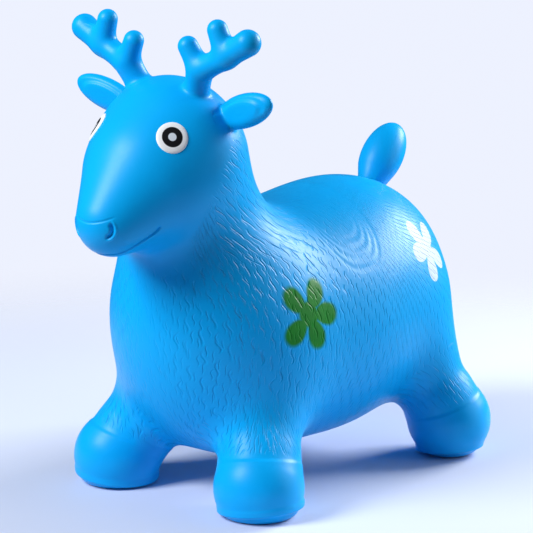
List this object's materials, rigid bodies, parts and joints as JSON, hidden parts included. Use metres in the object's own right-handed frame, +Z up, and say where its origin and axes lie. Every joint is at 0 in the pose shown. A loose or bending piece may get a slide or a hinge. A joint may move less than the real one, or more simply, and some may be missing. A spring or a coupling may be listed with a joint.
{
  "type": "bouncy ride on animal",
  "caption": "Inflatable deer-shaped hopper that a child sits astride and bounces on, with stubby feet that squash, antlers to hold, ears and a raised tail",
  "frame": {"origin": "on the floor, under the middle of the bounding box", "axes": "+Z is up, the deer faces -Y, and +X is the deer's left side; X = 0 is its plane of symmetry"},
  "size_m": [0.3278, 0.5249, 0.5054],
  "materials": {
    "blue_pvc": "satin, with engraved hair strokes",
    "hoof_pvc": "satin, smooth",
    "eye_vinyl": "white printed vinyl with a black ring",
    "valve_pvc": "satin"
  },
  "bodies": {
    "deer": {"trunk": "blue_pvc", "neck": "blue_pvc", "head": "blue_pvc", "fore_left_leg": "blue_pvc", "fore_right_leg": "blue_pvc", "hind_left_leg": "blue_pvc", "hind_right_leg": "blue_pvc", "eye_left": "eye_vinyl", "eye_right": "eye_vinyl", "valve_seat": "valve_pvc"},
    "fore_left_foot": {"fore_left_hoof": "hoof_pvc"},
    "fore_right_foot": {"fore_right_hoof": "hoof_pvc"},
    "hind_left_foot": {"hind_left_hoof": "hoof_pvc"},
    "hind_right_foot": {"hind_right_hoof": "hoof_pvc"},
    "left_antler": {"antler_left": "blue_pvc"},
    "right_antler": {"antler_right": "blue_pvc"},
    "left_ear": {"ear_left": "blue_pvc"},
    "right_ear": {"ear_right": "blue_pvc"},
    "tail_body": {"tail": "blue_pvc"},
    "plug": {"valve_plug": "valve_pvc"}
  },
  "joints": [
    {"name": "fore_left_squash", "type": "slide", "parent": "deer", "child": "fore_left_foot", "axis": [0, 0, 1], "range_m": [0, 0.018], "stiffness_N_per_m": 2500, "springref_m": -0.003, "deforming": ["fore_left_leg"]},
    {"name": "fore_right_squash", "type": "slide", "parent": "deer", "child": "fore_right_foot", "axis": [0, 0, 1], "range_m": [0, 0.018], "stiffness_N_per_m": 2500, "springref_m": -0.003, "deforming": ["fore_right_leg"]},
    {"name": "hind_left_squash", "type": "slide", "parent": "deer", "child": "hind_left_foot", "axis": [0, 0, 1], "range_m": [0, 0.018], "stiffness_N_per_m": 2500, "springref_m": -0.003, "deforming": ["hind_left_leg"]},
    {"name": "hind_right_squash", "type": "slide", "parent": "deer", "child": "hind_right_foot", "axis": [0, 0, 1], "range_m": [0, 0.018], "stiffness_N_per_m": 2500, "springref_m": -0.003, "deforming": ["hind_right_leg"]},
    {"name": "left_antler_bend", "type": "hinge", "parent": "deer", "child": "left_antler", "pos_m": [0.0383, -0.1435, 0.4334], "axis": [1, 0, 0], "range_deg": [-12, 12], "stiffness_Nm_per_rad": 0.6},
    {"name": "right_antler_bend", "type": "hinge", "parent": "deer", "child": "right_antler", "pos_m": [-0.0383, -0.1435, 0.4334], "axis": [1, 0, 0], "range_deg": [-12, 12], "stiffness_Nm_per_rad": 0.6},
    {"name": "left_ear_bend", "type": "hinge", "parent": "deer", "child": "left_ear", "pos_m": [0.0659, -0.1288, 0.4071], "axis": [0, 1, 0], "range_deg": [-15, 15], "stiffness_Nm_per_rad": 0.3},
    {"name": "right_ear_bend", "type": "hinge", "parent": "deer", "child": "right_ear", "pos_m": [-0.0659, -0.1288, 0.4071], "axis": [0, 1, 0], "range_deg": [-15, 15], "stiffness_Nm_per_rad": 0.3},
    {"name": "tail_bend", "type": "hinge", "parent": "deer", "child": "tail_body", "pos_m": [0, 0.1966, 0.2887], "axis": [1, 0, 0], "range_deg": [-15, 20], "stiffness_Nm_per_rad": 0.8},
    {"name": "plug_pull", "type": "slide", "parent": "deer", "child": "plug", "axis": [0, 0, -1], "range_m": [0, 0.02]}
  ]
}
